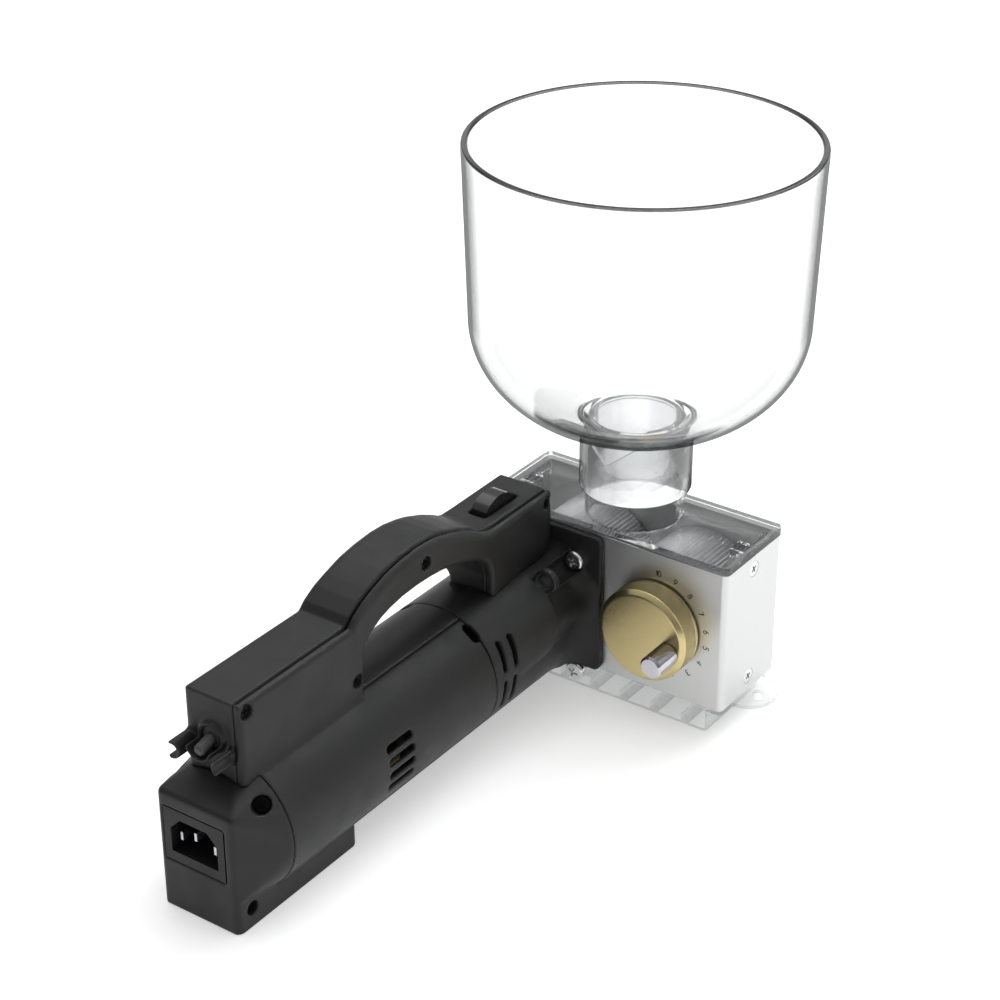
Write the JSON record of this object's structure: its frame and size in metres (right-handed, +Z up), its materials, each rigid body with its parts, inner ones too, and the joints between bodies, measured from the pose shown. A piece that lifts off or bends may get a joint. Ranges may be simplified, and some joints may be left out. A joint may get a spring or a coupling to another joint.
{
  "type": "electric grain mill",
  "caption": "Two-roller grain mill with a clear hopper, a clear cover and base, a numbered gap dial with a crank pin, and a geared electric motor body with a carrying handle.",
  "frame": {"origin": "midway between the two ear holes, on the underside of the ears, below the hopper's axis", "axes": "+X along the mill housing towards the gap dial, -Y towards the motor body and its mains inlet, +Z up through the hopper"},
  "size_m": [0.1586, 0.3413, 0.269],
  "materials": {
    "satin_aluminium": "satin",
    "clear_acrylic": "clear acrylic, polished",
    "zinc_screw": "bright zinc plated",
    "roller_steel": "fluted, ground",
    "steel": "machined",
    "bronze_bush": "sintered",
    "black_washer": "plain",
    "gold_anodised": "gold anodised, satin",
    "black_screw": "blackened",
    "polished_aluminium": "turned, polished",
    "black_moulding": "fine grain moulding",
    "black_gloss": "smooth",
    "grey_cable": "matt",
    "dark_plastic": "plain",
    "brown_wire": "insulated",
    "lamination": "stacked sheet",
    "copper_winding": "enamelled",
    "brown_phenolic": "plain",
    "brass": "plain",
    "carbon": "pressed"
  },
  "bodies": {
    "base": {"housing": "satin_aluminium", "top_cover": "clear_acrylic", "base_frame": "clear_acrylic", "side_screws": "zinc_screw", "drive_bearings": "steel", "adjuster_bushes": "bronze_bush", "gear_housing": "black_moulding", "flange_screws": "zinc_screw", "body_shell": "black_moulding", "side_cover": "black_moulding", "cover_screws": "black_screw", "tower_screws": "black_screw", "rear_cap": "black_moulding", "inlet_socket": "black_gloss", "inlet_pins": "polished_aluminium", "cord_exit_plug": "grey_cable", "switch_body": "dark_plastic", "supply_wires": "brown_wire", "stator_core": "lamination", "field_coils": "copper_winding", "rear_bearing": "steel", "front_bearing": "steel", "brush_plate": "brown_phenolic", "brush_holders": "brass", "carbon_brushes": "carbon", "brush_springs": "steel", "gear_plate": "lamination", "lay_bearings": "bronze_bush", "output_bearing": "steel"},
    "drive": {"drive_roller": "roller_steel", "drive_shaft": "steel", "shaft_coupling": "steel", "output_gear": "steel"},
    "idle": {"idle_roller": "roller_steel", "idle_bearings": "steel"},
    "adjuster": {"eccentric_axle": "steel", "friction_washer": "black_washer", "adjuster_knob": "gold_anodised", "knob_set_screw": "black_screw", "crank_pin_screw": "steel"},
    "crank": {"crank_pin": "polished_aluminium"},
    "lay": {"layshaft": "steel", "lay_gear": "bronze_bush"},
    "armature": {"armature_shaft": "steel", "armature_core": "lamination", "commutator": "copper_winding", "cooling_fan": "dark_plastic", "armature_pinion": "steel"},
    "hopper": {"hopper": "clear_acrylic", "feed_tube": "clear_acrylic"},
    "rocker": {"rocker": "black_gloss"}
  },
  "joints": [
    {"name": "drive_spin", "type": "hinge", "parent": "base", "child": "drive", "pos_m": [-0.0283, 0, 0.0373], "axis": [0, 1, 0], "continuous": true},
    {"name": "lay_spin", "type": "hinge", "parent": "base", "child": "lay", "pos_m": [-0.03, -0.05, 0.01537], "axis": [0, 1, 0], "continuous": true},
    {"name": "armature_spin", "type": "hinge", "parent": "base", "child": "armature", "pos_m": [-0.0422, -0.13, 0.0247], "axis": [0, 1, 0], "continuous": true},
    {"name": "gap_dial", "type": "hinge", "parent": "base", "child": "adjuster", "pos_m": [0.0288, -0.0245, 0.0373], "axis": [0, -1, 0], "range_deg": [-56.3, 103.7]},
    {"name": "idle_spin", "type": "hinge", "parent": "adjuster", "child": "idle", "pos_m": [0.02848, 0, 0.03657], "axis": [0, 1, 0], "continuous": true},
    {"name": "crank_pin_spin", "type": "hinge", "parent": "adjuster", "child": "crank", "pos_m": [0.04367, -0.045, 0.03368], "axis": [0, -1, 0], "continuous": true},
    {"name": "hopper_lift", "type": "slide", "parent": "base", "child": "hopper", "axis": [0, 0, 1], "range_m": [0, 0.045]},
    {"name": "switch_tilt", "type": "hinge", "parent": "base", "child": "rocker", "pos_m": [-0.0423, -0.0534, 0.0859], "axis": [1, 0, 0], "range_deg": [0, 12]}
  ],
  "couplings": [
    {"joint": "lay_spin", "follows": "drive_spin", "ratio": -4.5},
    {"joint": "armature_spin", "follows": "drive_spin", "ratio": 21.857}
  ]
}
